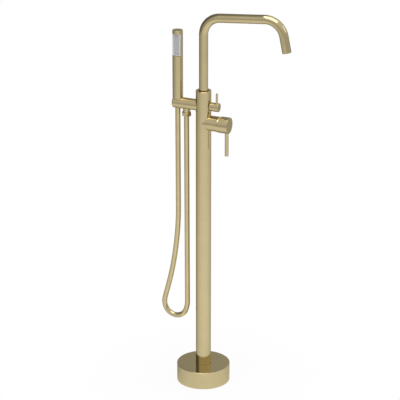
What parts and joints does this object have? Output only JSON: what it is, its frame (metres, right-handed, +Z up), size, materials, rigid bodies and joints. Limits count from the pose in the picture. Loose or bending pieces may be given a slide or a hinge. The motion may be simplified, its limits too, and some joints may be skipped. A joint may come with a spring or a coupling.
{
  "type": "floor standing bath filler",
  "caption": "Slim floor standing bath filler with a swivelling angled spout, side lever mixer, diverter, and a parked stick hand shower on a looped hose.",
  "frame": {"origin": "the column's axis at floor level, at the centre of the floor flange's screw circle", "axes": "+Z up the column, +X from the column towards the spout's outlet, the mixer and the diverter; the arm and hand shower are on -X, and the spray face looks along -Y at rest"},
  "size_m": [0.4007, 0.1584, 1.1616],
  "materials": {
    "brushed_brass": "warm brass finish, fine satin polish",
    "hose_skin": "smooth metallised hose skin in the same warm tone",
    "spray_face": "pale grey spray plate",
    "nozzle_rubber": "grey silicone",
    "raw_brass": "machined brass",
    "steel": "machined steel",
    "ceramic": "lapped white ceramic",
    "inner_plastic": "moulded engineering plastic",
    "dark_plastic": "black acetal",
    "seal_rubber": "black rubber"
  },
  "bodies": {
    "stand": {"floor_flange": "steel", "column_tube": "brushed_brass", "valve_body": "brushed_brass", "hot_tail": "raw_brass", "cold_tail": "raw_brass", "tail_nuts": "raw_brass", "tail_nipples": "raw_brass", "mixer_cartridge": "inner_plastic", "cartridge_seals": "seal_rubber", "fixed_disc": "ceramic", "cartridge_nut": "raw_brass", "dome_ring": "brushed_brass", "diverter_case": "raw_brass", "handset_arm": "brushed_brass", "arm_bush": "dark_plastic", "outlet_nipple": "brushed_brass", "hose_insert": "raw_brass", "hose_washer": "seal_rubber", "hose_nut": "brushed_brass", "shower_hose": "hose_skin", "spout_collar": "brushed_brass"},
    "spout": {"spout_tube": "brushed_brass", "spout_spigot": "raw_brass", "spout_orings": "seal_rubber", "outlet_housing": "brushed_brass", "flow_straightener": "inner_plastic"},
    "mixer_swivel": {"cartridge_yoke": "inner_plastic", "yoke_pin": "steel"},
    "mixer_disc": {"moving_disc": "ceramic", "disc_carrier": "dark_plastic"},
    "mixer_handle": {"cartridge_spindle": "steel", "handle_cap": "brushed_brass", "handle_lever": "brushed_brass", "handle_grub_screw": "steel"},
    "diverter": {"diverter_spindle": "raw_brass", "diverter_knob": "brushed_brass", "diverter_pin": "brushed_brass", "diverter_grub_screw": "steel"},
    "hose_end": {"hose_stem": "raw_brass", "stem_seal": "seal_rubber"},
    "handset": {"handset_tail": "raw_brass", "handset_body": "brushed_brass", "handset_cap": "brushed_brass", "spray_plate": "spray_face", "spray_nozzles": "nozzle_rubber", "spray_core": "inner_plastic"},
    "cover": {"base_cover": "brushed_brass", "cover_ring": "seal_rubber"}
  },
  "joints": [
    {"name": "spout_swivel", "type": "hinge", "parent": "stand", "child": "spout", "pos_m": [0, 0, 0.91], "axis": [0, 0, 1], "range_deg": [-90, 90]},
    {"name": "mixer_temperature", "type": "hinge", "parent": "stand", "child": "mixer_swivel", "pos_m": [0.0407, 0, 0.819], "axis": [1, 0, 0], "range_deg": [-45, 45]},
    {"name": "mixer_flow", "type": "hinge", "parent": "mixer_swivel", "child": "mixer_handle", "pos_m": [0.0407, 0, 0.819], "axis": [0, -1, 0], "range_deg": [0, 16]},
    {"name": "disc_slide", "type": "slide", "parent": "mixer_swivel", "child": "mixer_disc", "axis": [0, 0, -1], "range_m": [0, 0.0023]},
    {"name": "diverter_turn", "type": "hinge", "parent": "stand", "child": "diverter", "pos_m": [0.03, 0, 0.8694], "axis": [1, 0, 0], "range_deg": [0, 90]},
    {"name": "handset_lift", "type": "slide", "parent": "stand", "child": "hose_end", "axis": [0, 0, 1], "range_m": [0, 0.04]},
    {"name": "handset_turn", "type": "hinge", "parent": "hose_end", "child": "handset", "pos_m": [-0.0806, 0, 0.87], "axis": [0, 0, 1], "continuous": true},
    {"name": "cover_slide", "type": "slide", "parent": "stand", "child": "cover", "axis": [0, 0, 1], "range_m": [0, 0.11]}
  ],
  "couplings": [
    {"joint": "disc_slide", "follows": "mixer_flow", "m_per_rad": 0.0081}
  ]
}
